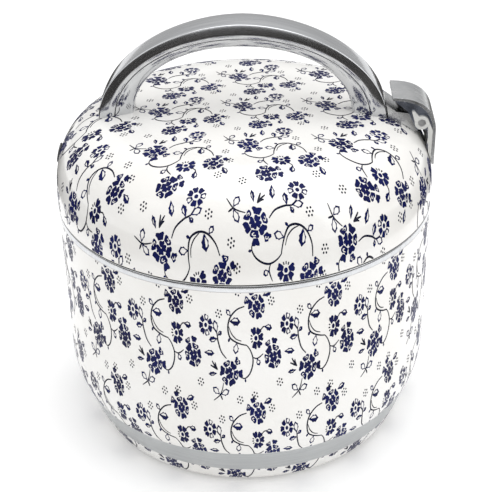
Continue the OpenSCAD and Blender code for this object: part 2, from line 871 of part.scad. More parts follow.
module latch_arm() {
    inside = latch_out_x - latch_plate;
    color("lightgray") difference() {
        translate([0, 0, seam_z]) {
            both_sides() plate_xz(latch_w / 2 - cheek_t, latch_w / 2) difference() {
                union() {
                    translate([latch_x, latch_z]) circle(r = boss_r);
                    polygon([
                        [inside - 3.6, latch_z + 3], [inside - 0.1, latch_z - 5],
                        [inside - 0.1, latch_end_z], [inside - 1.6, latch_end_z]
                    ]);
                    polygon([
                        [latch_x - 4.4, latch_z], [latch_x - 6.6, latch_z + 7.6],
                        [latch_x - 5.2, latch_z + 8], [latch_x - 1.6, latch_z + 4]
                    ]);
                }
                translate([latch_x, latch_z]) circle(r = latch_pin_r + run_gap);
            }
            block(inside - tie_t, inside - 0.1, latch_w / 2, tie_z, tie_z + tie_h);
            block(inside - tie_t, inside - 0.1, claw_w / 2, claw_z, tie_z + tie_h);
            block(latch_x, inside - 0.1, claw_w / 2, claw_z, claw_z + claw_h);
        }
        difference() {
            lid_solid(latch_gap);
            block(100, beyond, claw_w / 2 + 0.2, seam_z + 20, seam_z + 44);
        }
    }
}

body_shell();
seam_band();
base_band();
base_pan();
feet();
base_screws();
collar();
inner_can();
side_insulation();
side_heater();
inner_pot();
heating_plate();
heater_element();
plate_studs();
thermostat_housing();
thermostat_spring();
thermostat_cap();
ferrite_disc();
magnet_rod();
rocker();
rocker_pin();
switch_bracket();
contact_block();
cooking_key();
control_panel();
cook_lamp();
warm_lamp();
lamp_board();
thermal_fuse();
inlet_housing();
inlet_pins();
lead_wires();
hinge_bracket();
hinge_pin();
hinge_screws();
strike_plate();
lid_shell();
lid_liner();
lid_insulation();
inner_lid();
lid_gasket();
steam_pipe();
steam_cap();
hinge_leaf();
leaf_screws();
handle_shell();
handle_grip();
handle_screws();
latch_bracket();
latch_pin();
latch_spring();
latch_cover();
latch_arm();
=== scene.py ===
import json
import math
import random

import bmesh
import bpy
import numpy as np
from mathutils import Matrix, Vector
from mathutils.geometry import delaunay_2d_cdt

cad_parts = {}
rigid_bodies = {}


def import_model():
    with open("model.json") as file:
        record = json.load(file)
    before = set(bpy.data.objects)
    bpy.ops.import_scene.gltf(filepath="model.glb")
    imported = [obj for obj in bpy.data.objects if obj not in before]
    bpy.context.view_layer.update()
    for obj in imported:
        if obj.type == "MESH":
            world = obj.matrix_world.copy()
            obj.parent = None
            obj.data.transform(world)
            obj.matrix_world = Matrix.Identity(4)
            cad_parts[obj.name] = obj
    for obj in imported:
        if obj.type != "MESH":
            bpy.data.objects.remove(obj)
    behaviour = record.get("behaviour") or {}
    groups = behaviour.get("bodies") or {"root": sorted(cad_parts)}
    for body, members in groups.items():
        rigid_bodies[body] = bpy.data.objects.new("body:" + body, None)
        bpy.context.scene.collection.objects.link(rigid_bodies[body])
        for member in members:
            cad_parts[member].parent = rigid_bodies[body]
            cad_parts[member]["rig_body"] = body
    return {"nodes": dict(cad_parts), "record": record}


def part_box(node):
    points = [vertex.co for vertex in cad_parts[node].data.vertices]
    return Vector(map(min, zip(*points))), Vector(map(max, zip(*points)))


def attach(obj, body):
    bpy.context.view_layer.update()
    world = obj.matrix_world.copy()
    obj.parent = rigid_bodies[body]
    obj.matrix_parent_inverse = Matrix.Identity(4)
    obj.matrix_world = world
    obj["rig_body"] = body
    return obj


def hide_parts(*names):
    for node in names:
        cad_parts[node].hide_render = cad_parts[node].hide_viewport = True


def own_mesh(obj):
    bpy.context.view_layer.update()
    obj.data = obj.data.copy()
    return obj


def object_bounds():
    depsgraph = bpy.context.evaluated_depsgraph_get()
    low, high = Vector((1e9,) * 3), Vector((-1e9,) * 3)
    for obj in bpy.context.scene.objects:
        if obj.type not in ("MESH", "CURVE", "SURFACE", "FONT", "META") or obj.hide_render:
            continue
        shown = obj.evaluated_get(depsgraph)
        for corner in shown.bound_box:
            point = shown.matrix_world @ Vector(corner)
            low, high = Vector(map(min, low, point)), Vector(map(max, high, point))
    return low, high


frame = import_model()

# Rice cooker: an enamelled jar with a domed lid, an arch handle and a thumb latch.
# Metres, +Z up, +X towards the latch, -X towards the hinge.

CAD_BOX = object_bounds()
MM = 0.001

# ---- sizes, read from the frame or shared with it ----

BODY_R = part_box("body_shell")[1][0]
SHELL_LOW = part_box("body_shell")[0][2]
SHELL_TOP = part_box("body_shell")[1][2]
SEAM_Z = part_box("seam_band")[1][2]
BAND_LOW, BAND_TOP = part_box("base_band")[0][2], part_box("base_band")[1][2]
RIM_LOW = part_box("base_pan")[0][2]
SKIN = 1.2 * MM
SEAM_GAP = 1.0 * MM

# Lid: a quarter superellipse from the rim to a slightly crowned top
LID_TOP_R = 64.8 * MM
LID_FOOT = SEAM_Z + 2.25 * MM
LID_H = SEAM_Z + 58.6 * MM
LID_CROWN = 2.4 * MM
LID_POWER = 2.83

# Body: the wall turns in on an arc towards the base band
TURN_Z = 59 * MM
BAND_TOP_R = BODY_R - 4.9 * MM
BAND_LOW_R = BODY_R - 11.5 * MM
RIM_R = BODY_R - 16.4 * MM

# Handle: three arches of half span, top and power, standing on the lid's shoulder
HANDLE_FOOT = SEAM_Z + 56 * MM
HANDLE_W = 11.25 * MM
OUTER_ARCH = (93.5 * MM, SEAM_Z + 119.6 * MM, 1.87)
MIDDLE_ARCH = (82.5 * MM, SEAM_Z + 110.0 * MM, 1.995)
INNER_ARCH = (71.0 * MM, SEAM_Z + 103.4 * MM, 2.12)

# Openings in the shells: half width, lowest and highest z
PANEL_WINDOW = (16 * MM, 61 * MM, 111 * MM)
CLAW_SLOT = (6.5 * MM, SEAM_Z + 25 * MM, SEAM_Z + 39 * MM)
HINGE_NOTCH = (14.6 * MM, SEAM_Z, SEAM_Z + 12.6 * MM)
INLET_CUT = (14.3 * MM, BAND_LOW, 30.8 * MM)

# ---- camera, fitted to the photo ----

CAMERA_AT = Vector((0.0306, -0.7017, 0.5305))
CAMERA_RIGHT = Vector((0.99931, 0.03322, -0.01693))
CAMERA_UP = Vector((-0.00218, 0.50543, 0.86287))
CAMERA_LENS = 85.35
SENSOR_WIDTH = 36


def make_camera():
    """The photo's camera, from its place, its own axes and its lens."""
    data = bpy.data.cameras.new("camera")
    data.sensor_width = SENSOR_WIDTH
    data.lens = CAMERA_LENS
    camera = bpy.data.objects.new("camera", data)
    back = CAMERA_RIGHT.cross(CAMERA_UP)
    turn = Matrix((CAMERA_RIGHT, CAMERA_UP, back)).transposed().to_4x4()
    camera.matrix_world = Matrix.Translation(CAMERA_AT) @ turn
    bpy.context.scene.collection.objects.link(camera)
    bpy.context.scene.camera = camera


# ---- materials ----

COAT_ROUGHNESS = 0.06
NOISE_LOW, NOISE_HIGH = 0.3, 0.7  # nearly all noise values lie between these


class Finish:
    """A Principled material whose inputs are fed by procedural textures in frame coordinates."""

    def __init__(self, name, metallic=0.0, coat=0.0, sheen=0.0, transmission=0.0, ior=1.5,
                 specular=0.5):
        self.mat = bpy.data.materials.new(name)
        self.mat.use_nodes = True
        self.nodes = self.mat.node_tree.nodes
        self.links = self.mat.node_tree.links
        self.shader = self.nodes["Principled BSDF"]
        settings = {"Metallic": metallic, "Coat Weight": coat, "Sheen Weight": sheen,
                    "Transmission Weight": transmission, "IOR": ior,
                    "Specular IOR Level": specular}
        for socket, value in settings.items():
            self.shader.inputs[socket].default_value = value
        if coat:
            self.shader.inputs["Coat Roughness"].default_value = COAT_ROUGHNESS
        self.place = self.nodes.new("ShaderNodeTexCoord").outputs["Object"]

    def stretched(self, stretch):
        """Frame coordinates scaled by a factor along each axis."""
        mapping = self.nodes.new("ShaderNodeMapping")
        mapping.inputs["Scale"].default_value = stretch
        self.links.new(self.place, mapping.inputs["Vector"])
        return mapping.outputs["Vector"]

    def noise(self, scale, stretch=(1, 1, 1), detail=3.0, rough=0.55):
        node = self.nodes.new("ShaderNodeTexNoise")
        node.inputs["Scale"].default_value = scale
        node.inputs["Detail"].default_value = detail
        node.inputs["Roughness"].default_value = rough
        self.links.new(self.stretched(stretch), node.inputs["Vector"])
        return node.outputs["Fac"]

    def cells(self, scale, stretch=(1, 1, 1)):
        node = self.nodes.new("ShaderNodeTexVoronoi")
        node.inputs["Scale"].default_value = scale
        self.links.new(self.stretched(stretch), node.inputs["Vector"])
        return node.outputs["Distance"]

    def rings(self, scale):
        """Rings round the vertical axis, 314 mm / scale apart."""
        node = self.nodes.new("ShaderNodeTexWave")
        node.wave_type = "RINGS"
        node.rings_direction = "Z"
        node.inputs["Scale"].default_value = scale
        self.links.new(self.place, node.inputs["Vector"])
        return node.outputs["Fac"]

    def colour(self, fac, first, second, low=0.35, high=0.65):
        """Feeds the base colour, from the first colour at fac low to the second at high."""
        ramp = self.nodes.new("ShaderNodeValToRGB")
        for element, at, rgb in zip(ramp.color_ramp.elements, (low, high), (first, second)):
            element.position = at
            element.color = (*rgb, 1)
        self.links.new(fac, ramp.inputs["Fac"])
        self.links.new(ramp.outputs["Color"], self.shader.inputs["Base Color"])
        return self

    def roughness(self, fac, low, high):
        """Feeds the roughness, between low and high as the noise varies."""
        spread = self.nodes.new("ShaderNodeMapRange")
        limits = {"From Min": NOISE_LOW, "From Max": NOISE_HIGH, "To Min": low, "To Max": high}
        for socket, value in limits.items():
            spread.inputs[socket].default_value = value
        self.links.new(fac, spread.inputs["Value"])
        self.links.new(spread.outputs["Result"], self.shader.inputs["Roughness"])
        return self

    def bump(self, fac, height, strength=0.5):
        """Feeds the normal with a relief of the given height in metres."""
        node = self.nodes.new("ShaderNodeBump")
        node.inputs["Strength"].default_value = strength
        node.inputs["Distance"].default_value = height
        self.links.new(fac, node.inputs["Height"])
        self.links.new(node.outputs["Normal"], self.shader.inputs["Normal"])
        return self


def enamel():
    """White glossy enamel with a faint warm mottle and the ripple of sprayed enamel."""
    f = Finish("enamel", coat=0.6)
    f.colour(f.noise(14), (0.80, 0.785, 0.755), (0.84, 0.832, 0.812))
    f.roughness(f.noise(60), 0.16, 0.26)
    return f.bump(f.noise(260, detail=1.0), 0.05 * MM, 0.12).mat


def ink():
    """Navy transfer print, fired under the same gloss, a little uneven in strength."""
    f = Finish("ink", specular=0.08)
    f.colour(f.noise(45), (0.003, 0.0045, 0.045), (0.007, 0.011, 0.082))
    return f.roughness(f.noise(200), 0.18, 0.3).mat


def black_ink():
    """The print's thin lines and dots, nearly black."""
    f = Finish("black_ink", specular=0.08)
    f.colour(f.noise(45), (0.006, 0.007, 0.018), (0.012, 0.014, 0.034))
    return f.roughness(f.noise(200), 0.2, 0.3).mat


def satin_band():
    """Satin anodised ring, brushed round the body."""
    f = Finish("satin_band", metallic=0.9)
    streaks = f.noise(30, (1, 1, 70), detail=5.0)
    f.colour(streaks, (0.43, 0.445, 0.45), (0.53, 0.54, 0.545))
    f.roughness(streaks, 0.36, 0.48)
    return f.bump(streaks, 0.02 * MM, 0.15).mat


def chrome():
    """Bright chrome plate with soft polishing waves that run along the handle."""
    f = Finish("chrome", metallic=1.0)
    waves = f.noise(14, (0.5, 6.0, 0.7), detail=1.0)
    f.colour(f.noise(60, (0.4, 5.0, 0.4)), (0.58, 0.59, 0.61), (0.66, 0.67, 0.685))
    f.roughness(f.noise(80, (0.3, 6.0, 0.3)), 0.09, 0.14)
    return f.bump(waves, 0.5 * MM, 0.2).mat


def satin_chrome():
    """Softer chrome of the latch and the screws."""
    f = Finish("satin_chrome", metallic=1.0)
    f.colour(f.noise(80), (0.56, 0.57, 0.58), (0.64, 0.645, 0.65))
    f.roughness(f.noise(120, (1, 4, 1)), 0.2, 0.28)
    return f.bump(f.noise(60, (1, 3, 1), detail=1.0), 0.1 * MM, 0.15).mat


def painted_shade_chrome():
    """Chrome of the latch cover's cheeks, made darker and bluish to paint in the shade they sit back
    in.
    """
    f = Finish("painted_shade_chrome", metallic=1.0)
    # painted shade: dark bluish grey in place of bright chrome
    f.colour(f.noise(70), (0.20, 0.22, 0.27), (0.32, 0.34, 0.40))
    f.roughness(f.noise(90), 0.22, 0.34)
    return f.bump(f.noise(60, detail=1.0), 0.1 * MM, 0.15).mat


def steel():
    """Plain rolled steel with faint streaks."""
    f = Finish("steel", metallic=1.0)
    streaks = f.noise(200, (1, 8, 1))
    f.colour(streaks, (0.47, 0.47, 0.475), (0.58, 0.58, 0.585))
    return f.roughness(streaks, 0.25, 0.42).bump(streaks, 0.01 * MM, 0.3).mat


def cast_alloy():
    """Bead-blasted cast aluminium."""
    f = Finish("cast_alloy", metallic=0.9)
    f.colour(f.noise(70), (0.50, 0.50, 0.49), (0.60, 0.60, 0.59))
    f.roughness(f.noise(900), 0.45, 0.6)
    return f.bump(f.noise(1400, detail=1.0), 0.05 * MM, 0.6).mat


def spun_aluminium():
    """Spun aluminium with the lathe's fine rings."""
    f = Finish("spun_aluminium", metallic=0.95)
    rings = f.rings(180)
    f.colour(f.noise(50, (1, 1, 12)), (0.58, 0.59, 0.60), (0.68, 0.69, 0.695))
    f.roughness(f.noise(60, (1, 1, 12)), 0.24, 0.34)
    return f.bump(rings, 0.01 * MM, 0.2).mat


def plastic(name, dark, light, rough=(0.38, 0.52), grain=1200):
    """Moulded plastic with a fine spark-eroded grain."""
    f = Finish(name, coat=0.08)
    f.colour(f.noise(40), dark, light)
    return f.roughness(f.noise(300), *rough).bump(f.noise(grain), 0.02 * MM, 0.35).mat


def rubber(name, dark, light):
    """Soft rubber with a dusty sheen."""
    f = Finish(name, sheen=0.3)
    f.colour(f.noise(120), dark, light)
    return f.roughness(f.noise(400), 0.6, 0.8).bump(f.noise(1800), 0.03 * MM, 0.5).mat


def glass_wool():
    """Fibrous insulation blanket."""
    f = Finish("glass_wool", sheen=0.5)
    fibres = f.noise(160, (1, 1, 5), detail=8.0, rough=0.7)
    f.colour(fibres, (0.55, 0.48, 0.24), (0.82, 0.77, 0.52))
    return f.roughness(fibres, 0.8, 0.95).bump(fibres, 0.8 * MM, 0.8).mat


def brass():
    """Plain brass, slightly dull."""
    f = Finish("brass", metallic=1.0)
    f.colour(f.noise(150), (0.60, 0.42, 0.17), (0.74, 0.55, 0.26))
    return f.roughness(f.noise(260), 0.24, 0.4).bump(f.noise(700), 0.01 * MM, 0.3).mat


def ferrite():
    """Sintered ferrite, dark and granular."""
    f = Finish("ferrite", metallic=0.4)
    f.colour(f.noise(400), (0.05, 0.05, 0.055), (0.11, 0.11, 0.12))
    return f.roughness(f.noise(900), 0.5, 0.7).bump(f.cells(1500), 0.05 * MM, 0.5).mat


def lens(name, dark, light):
    """Ribbed coloured lamp lens."""
    f = Finish(name, coat=0.6, transmission=0.35, ior=1.49)
    f.colour(f.noise(600), dark, light)
    return f.roughness(f.noise(300), 0.12, 0.22).bump(f.noise(900, (1, 1, 6)), 0.05 * MM, 0.5).mat


def board():
    """Paper laminate board."""
    f = Finish("board", coat=0.2)
    f.colour(f.noise(220, (1, 6, 1)), (0.22, 0.12, 0.05), (0.33, 0.2, 0.09))
    return f.roughness(f.noise(300), 0.35, 0.5).bump(f.noise(900), 0.02 * MM, 0.3).mat


def braid():
    """Braided glass sleeve."""
    f = Finish("braid", sheen=0.4)
    threads = f.cells(900)
    f.colour(threads, (0.52, 0.49, 0.43), (0.78, 0.75, 0.69), 0.1, 0.6)
    return f.roughness(threads, 0.65, 0.85).bump(threads, 0.2 * MM, 0.7).mat


MATERIALS = {
    "enamel": enamel(),
    "silver_trim": satin_band(),
    "chrome": satin_chrome(),
    "steel": steel(),
    "cast_alloy": cast_alloy(),
    "pot_aluminium": spun_aluminium(),
    "light_plastic": plastic("light_plastic", (0.56, 0.56, 0.54), (0.64, 0.64, 0.62)),
    "dark_plastic": plastic("dark_plastic", (0.030, 0.031, 0.034), (0.05, 0.051, 0.056)),
    "silicone": rubber("silicone", (0.74, 0.74, 0.72), (0.82, 0.82, 0.80)),
    "foot_rubber": rubber("foot_rubber", (0.02, 0.02, 0.02), (0.045, 0.045, 0.045)),
    "insulation": glass_wool(),
    "brass": brass(),
    "ferrite": ferrite(),
    "lamp_red": lens("lamp_red", (0.55, 0.03, 0.015), (0.75, 0.06, 0.03)),
    "lamp_amber": lens("lamp_amber", (0.75, 0.28, 0.02), (0.85, 0.42, 0.05)),
    "board": board(),
    "wire_sleeve": braid(),
}
CHROME = chrome()
# chrome with painted shade, for the latch cover's cheeks
PAINTED_SHADE_CHROME = painted_shade_chrome()
INK = ink()
BLACK_INK = black_ink()
SLOT_OF = {row["node"]: row["material_slot"] for row in frame["record"]["subparts"]}

# ---- mesh helpers ----

ON_AXIS = 1e-6
WELD = 0.002 * MM
FLAT_ANGLE = 0.4  # degrees: edges flatter than this are dissolved
NORMAL_WEIGHT = 90
NEAR_EDGE = 0.3  # of a segment: columns this near a window's edge are dropped


def piece(name, mesh, body, material, stands_for=()):
    """Puts a mesh in the scene as a piece that rides on a body and stands for CAD nodes."""
    obj = bpy.data.objects.new(name, mesh)
    bpy.context.scene.collection.objects.link(obj)
    mesh.materials.clear()
    mesh.materials.append(material)
    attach(obj, body)
    if stands_for:
        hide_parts(*stands_for)
    return obj


def apply_modifiers(obj):
    """Replaces an object's mesh with what its modifiers make of it."""
    graph = bpy.context.evaluated_depsgraph_get()
    mesh = bpy.data.meshes.new_from_object(obj.evaluated_get(graph))
    obj.modifiers.clear()
    obj.data = mesh


def smooth(obj, angle=35):
    """Smooth shading, apart from edges sharper than an angle in degrees."""
    obj.data.shade_smooth()
    obj.data.set_sharp_from_angle(angle=math.radians(angle))


def solidify(obj, thickness):
    """Thickens a surface inwards."""
    shell = obj.modifiers.new("thickness", "SOLIDIFY")
    shell.thickness = thickness
    shell.offset = -1
    shell.use_even_offset = True
    apply_modifiers(obj)


def in_window(x, y, z, windows):
    """True inside one of the windows: side (+1 front, -1 back), half width, lowest and highest z."""
    return any(x * side > 0 and abs(y) < half and low < z < high
               for side, (half, low, high) in windows)


def lathe(name, rows, windows=(), closed=False, segments=256):
    """Surface of revolution through rows of (r, z), going down the outside, with windows left open."""
    angles = [math.tau * i / segments for i in range(segments)]
    for side, (half, low, high) in windows:
        r = min(rows, key=lambda row: abs(row[1] - (low + high) / 2))[0]
        middle = 0 if side > 0 else math.pi
        edges = [(middle + s * math.asin(half / r)) % math.tau for s in (-1, 1)]
        clear = NEAR_EDGE * math.tau / segments
        angles = [a for a in angles if min(abs(a - e) for e in edges) > clear]
        angles += edges
    angles.sort()
    bm = bmesh.new()
    rings = []
    for r, z in rows:
        if r < ON_AXIS:
            rings.append([bm.verts.new((0, 0, z))] * len(angles))
        else:
            rings.append([bm.verts.new((r * math.cos(a), r * math.sin(a), z)) for a in angles])
    if closed:
        rings.append(rings[0])
    for upper, lower in zip(rings, rings[1:]):
        for i in range(len(angles)):
            j = (i + 1) % len(angles)
            corners = list(dict.fromkeys((upper[i], lower[i], lower[j], upper[j])))
            middle = sum((v.co for v in corners), Vector()) / len(corners)
            if len(corners) > 2 and not in_window(*middle, windows):
                bm.faces.new(corners)
    bmesh.ops.delete(bm, geom=[v for v in bm.verts if not v.link_faces], context="VERTS")
    bmesh.ops.recalc_face_normals(bm, faces=bm.faces)
    mesh = bpy.data.meshes.new(name)
    bm.to_mesh(mesh)
    bm.free()
    return mesh


def refined(node, bevel, angle=38, mark=None, second=None):
    """A copy of a CAD node with broken edges and smooth shading, which replaces it.
    A marking function may give some of its faces the second material."""
    mesh = frame["nodes"][node].data.copy()
    slot = SLOT_OF[node]
    body = frame["nodes"][node]["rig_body"]
    obj = piece(node + "_finished", mesh, body, MATERIALS[slot], [node])
    if second:
        mesh.materials.append(second)
    bm = bmesh.new()
    bm.from_mesh(mesh)
    bmesh.ops.remove_doubles(bm, verts=bm.verts, dist=WELD)
    bmesh.ops.dissolve_limit(bm, angle_limit=math.radians(FLAT_ANGLE), verts=bm.verts,
                             edges=bm.edges, delimit=set())
    if mark:
        mark(bm)
    bm.to_mesh(mesh)
    bm.free()
    edge = obj.modifiers.new("edge", "BEVEL")
    edge.width = bevel
    edge.segments = 2
    edge.limit_method = "ANGLE"
    edge.angle_limit = math.radians(angle)
    apply_modifiers(obj)
    smooth(obj, angle)
    even = obj.modifiers.new("even", "WEIGHTED_NORMAL")
    even.keep_sharp = True
    even.weight = NORMAL_WEIGHT
    apply_modifiers(obj)
    return obj


# ---- outlines ----


def lid_angle(z):
    """Angle on the lid's superellipse at which it has height z."""
    return math.asin(((z - LID_FOOT) / (LID_H - LID_FOOT)) ** (LID_POWER / 2))


def lid_curve(steps=44, crown_steps=12):
    """Points (r, z) on the lid from the axis down to the edge."""
    slots = [lid_angle(z) for z in (CLAW_SLOT[1], CLAW_SLOT[2], HINGE_NOTCH[2])]
    turns = sorted([math.pi / 2 * i / steps for i in range(steps + 1)] + slots, reverse=True)
    rows = []
    for i in range(crown_steps):
        r = LID_TOP_R * i / crown_steps
        rows.append((r, LID_H + LID_CROWN * (1 - (r / LID_TOP_R) ** 2)))
    for t in turns:
        r = LID_TOP_R + (BODY_R - LID_TOP_R) * max(math.cos(t), 0) ** (2 / LID_POWER)
        rows.append((r, LID_FOOT + (LID_H - LID_FOOT) * math.sin(t) ** (2 / LID_POWER)))
    return rows + [(BODY_R, SEAM_Z + SEAM_GAP)]


def turn_in_curve(steps=16):
    """Points (r, z) where the body's wall turns in, from the wall down to the base band."""
    drop = TURN_Z - BAND_TOP
    across = BODY_R - BAND_TOP_R
    radius = (drop ** 2 + across ** 2) / (2 * across)
    sweep = math.asin(drop / radius)
    turns = [sweep * i / steps for i in range(steps + 1)]
    return [(BODY_R - radius * (1 - math.cos(t)), TURN_Z - radius * math.sin(t)) for t in turns]


def wall_curve():
    """Points (r, z) down the body's wall, with rows at the panel window's edges."""
    heights = [SHELL_TOP, 136 * MM, PANEL_WINDOW[2], 86 * MM, PANEL_WINDOW[1]]
    return [(BODY_R, z) for z in heights] + turn_in_curve()


def rounded(corners, radius, steps=4):
    """Closed outline of (r, z) corners, each rounded with a small arc."""
    rows = []
    count = len(corners)
    for i, corner in enumerate(corners):
        here = Vector(corner)
        before = (Vector(corners[i - 1]) - here).normalized() * radius
        after = (Vector(corners[(i + 1) % count]) - here).normalized() * radius
        for s in range(steps + 1):
            t = s / steps
            rows.append(tuple(here + before * (1 - t) ** 2 + after * t ** 2))
    return rows


# ---- enamelled shells and bands ----


def make_shells():
    """Lid and body as thin enamelled skins with their openings, and the base pan."""
    lid = lathe("lid_enamel", lid_curve(), [(1, CLAW_SLOT), (-1, HINGE_NOTCH)])
    body = lathe("body_enamel", wall_curve(), [(1, PANEL_WINDOW)])
    shells = ((lid, "lid", "lid_shell"), (body, "body", "body_shell"))
    for mesh, rides, node in shells:
        obj = piece(mesh.name, mesh, rides, MATERIALS["enamel"], [node])
        solidify(obj, SKIN)
        smooth(obj)
    refined("base_pan", FINE_EDGE)


def make_bands():
    """The bright seam ring and the satin base ring, which is cut for the inlet."""
    seam = rounded([(BODY_R - SKIN, SEAM_Z), (BODY_R, SEAM_Z), (BODY_R, SHELL_TOP),
                    (BODY_R - SKIN, SHELL_TOP)], 0.45 * MM)
    mesh = lathe("seam_ring", seam, closed=True)
    smooth(piece("seam_ring", mesh, "body", CHROME, ["seam_band"]), angle=60)
    slope = (BAND_TOP_R - BAND_LOW_R) / (BAND_TOP - BAND_LOW)
    heights = [BAND_TOP, INLET_CUT[2], 24 * MM, BAND_LOW]
    rows = [(BAND_LOW_R + slope * (z - BAND_LOW), z) for z in heights]
    mesh = lathe("base_ring", rows, [(-1, INLET_CUT)])
    band = piece("base_ring", mesh, "body", MATERIALS["silver_trim"],
                 ["base_band"])
    solidify(band, SKIN)
    smooth(band)


# ---- handle ----


def arch_point(arch, t):
    """Point on an arch (half span, top, power), with t from 0 at one foot to pi at the other."""
    half, top, power = arch
    across = math.copysign(abs(math.cos(t)) ** (2 / power), math.cos(t))
    return Vector((half * across, 0, HANDLE_FOOT + (top - HANDLE_FOOT) * math.sin(t) ** (2 / power)))


def arch_sweep(name, upper, lower, section, steps=120, sink=0.6 * MM):
    """Sweeps a closed section of (fraction from upper to lower arch, y) along both arches,
    and sinks its two ends into the lid."""
    bm = bmesh.new()
    rings = []
    for i in range(-1, steps + 2):
        t = math.pi * min(max(i, 0), steps) / steps
        drop = Vector((0, 0, sink if i in (-1, steps + 1) else 0))
        top, bottom = arch_point(upper, t) - drop, arch_point(lower, t) - drop
        rings.append([bm.verts.new(top.lerp(bottom, f) + Vector((0, y, 0))) for f, y in section])
    count = len(section)
    for near, far in zip(rings, rings[1:]):
        for i in range(count):
            j = (i + 1) % count
            bm.faces.new((near[i], near[j], far[j], far[i]))
    bm.faces.new(rings[0])
    bm.faces.new(reversed(rings[-1]))
    bmesh.ops.recalc_face_normals(bm, faces=bm.faces)
    mesh = bpy.data.meshes.new(name)
    bm.to_mesh(mesh)
    bm.free()
    return mesh


def moulding_section():
    """Slightly crowned top, rounded edges, upright sides and a broken lower edge."""
    edge, crown, side = 0.7 * MM, 0.035, 0.08
    flat = HANDLE_W - edge
    half = [(crown * (i / 4) ** 2, flat * i / 4) for i in range(5)]
    half += [(crown + side * (1 - math.cos(a)), flat + edge * math.sin(a))
             for a in (math.pi / 2 * i / 6 for i in range(1, 7))]
    half += [(0.6, HANDLE_W), (0.94, HANDLE_W), (0.985, HANDLE_W - 0.25 * MM),
             (1.0, HANDLE_W - 0.8 * MM)]
    return half + [(f, -y) for f, y in reversed(half[1:])]


def underside_section():
    """Set in from the moulding, with bevelled sides that run in to a narrower underside."""
    top, foot = HANDLE_W - 0.7 * MM, 6.9 * MM
    half = [(0.0, top - 0.6 * MM), (0.03, top), (0.12, top), (0.86, foot + 0.9 * MM),
            (0.96, foot + 0.2 * MM), (1.0, foot - 0.9 * MM)]
    return half + [(f, -y) for f, y in reversed(half)]


def make_handle():
    """The chrome moulding and the underside that the hand holds."""
    rows = (("handle_moulding", OUTER_ARCH, MIDDLE_ARCH, moulding_section(), "handle_shell"),
            ("handle_underside", MIDDLE_ARCH, INNER_ARCH, underside_section(), "handle_grip"))
    for name, upper, lower, section, node in rows:
        mesh = arch_sweep(name, upper, lower, section)
        smooth(piece(name, mesh, "lid", CHROME, [node]), angle=40)


# ---- print: flat shapes in millimetres, laid on the shells later ----

FILM = 0.06 * MM  # how far the film stands proud of the enamel
FILM_SUNK = 0.05 * MM

# The drawing: one square repeat, filled with triangles that have points on a grid
REPEAT = 57.0
GRID = 2.0
GRID_CLEAR = 0.7
SAME_POINT = 1e-5
SEED = 7
PETAL_WOBBLE = 0.07
LEAF_EDGE = 0.6
LEAF_TEETH = 0.14
LEAF_RIB = 0.18
FLOWER_FLATTER = 0.88
HEART_SIDES = 9

# On the lid the repeats lie in a square lattice, turned by LID_TURN degrees, which stretches more
# and more outwards: a place LID_STRETCH_R from the middle moves out by the share LID_STRETCH
LID_REPEAT = 52.0
LID_TURN = 5.4
LID_STRETCH = 0.364
LID_STRETCH_R = 150 * MM
LID_FIRST = (10.5 * MM, -105.5 * MM)
LID_COLUMNS, LID_ROWS = range(-3, 4), range(-1, 6)
LID_PRINT = (SEAM_Z + SEAM_GAP + 0.4 * MM, CAD_BOX[1][2])

# On the body they stand in columns, the first at BODY_FIRST degrees, with the drawing's x down
BODY_COLUMNS = 16
BODY_FIRST = -92.5
BODY_ROWS = range(-1, 2)
BODY_TALL = 1.4
BODY_DROP = SEAM_Z - 103 * MM
WALL_PRINT = (SHELL_LOW + 0.3 * MM, SHELL_TOP - 0.2 * MM)
RIM_PRINT = (RIM_LOW + 0.4 * MM, BAND_LOW - 0.3 * MM)
CUT_REACH = 12 * MM  # longer than any triangle of the print


class Print:
    """Flat triangles of one repeat of the flower print: navy petals and leaves, black lines."""

    def __init__(self):
        self.points = []
        self.faces = []
        self.black = []
        self.random = random.Random(SEED)

    def add(self, loops, black=False):
        """Adds an outline with optional holes, filled with well-shaped triangles."""
        outline, *holes = [[Vector(p) for p in loop] for loop in loops]
        points, edges = [], []
        for loop in [outline, *holes]:
            first = len(points)
            points += loop
            edges += [(first + i, first + (i + 1) % len(loop)) for i in range(len(loop))]
        points += inner_points(outline, holes)
        verts, _, faces, *_ = delaunay_2d_cdt(points, edges, [], 1, SAME_POINT)
        first = len(self.points)
        self.points += [(v.x, v.y) for v in verts]
        for face in faces:
            middle = sum((verts[i] for i in face), Vector((0, 0))) / len(face)
            if any(inside(middle, hole) for hole in holes):
                continue
            a, b, c = (verts[i] for i in face)
            turn = (b - a).cross(c - a)
            self.faces.append([first + i for i in (face if turn > 0 else face[::-1])])
            self.black.append(black)

    def flatten(self, first, y):
        """Flattens what was drawn since a point towards the line at y."""
        self.points[first:] = [(u, y + FLOWER_FLATTER * (v - y)) for u, v in self.points[first:]]


def inside(point, loop):
    """True if a point is inside a closed loop."""
    hits = 0
    for a, b in zip(loop, loop[1:] + loop[:1]):
        if (a.y > point.y) != (b.y > point.y):
            hits += point.x < a.x + (point.y - a.y) * (b.x - a.x) / (b.y - a.y)
    return hits % 2 == 1


def inner_points(outline, holes):
    """Points on a grid inside an outline, clear of its edges and holes."""
    xs, ys = [p.x for p in outline], [p.y for p in outline]
    found = []
    for i in range(1, int((max(xs) - min(xs)) / GRID) + 1):
        for j in range(1, int((max(ys) - min(ys)) / GRID) + 1):
            point = Vector((min(xs) + GRID * i, min(ys) + GRID * j))
            near = min((point - p).length for loop in [outline, *holes] for p in loop)
            if near > GRID_CLEAR and inside(point, outline):
                found.append(point)
    return [p for p in found if not any(inside(p, hole) for hole in holes)]


def placed(points, x, y, turn):
    """Local points turned by an angle in degrees and moved to x, y."""
    c, s = math.cos(math.radians(turn)), math.sin(math.radians(turn))
    return [(x + c * u - s * v, y + s * u + c * v) for u, v in points]


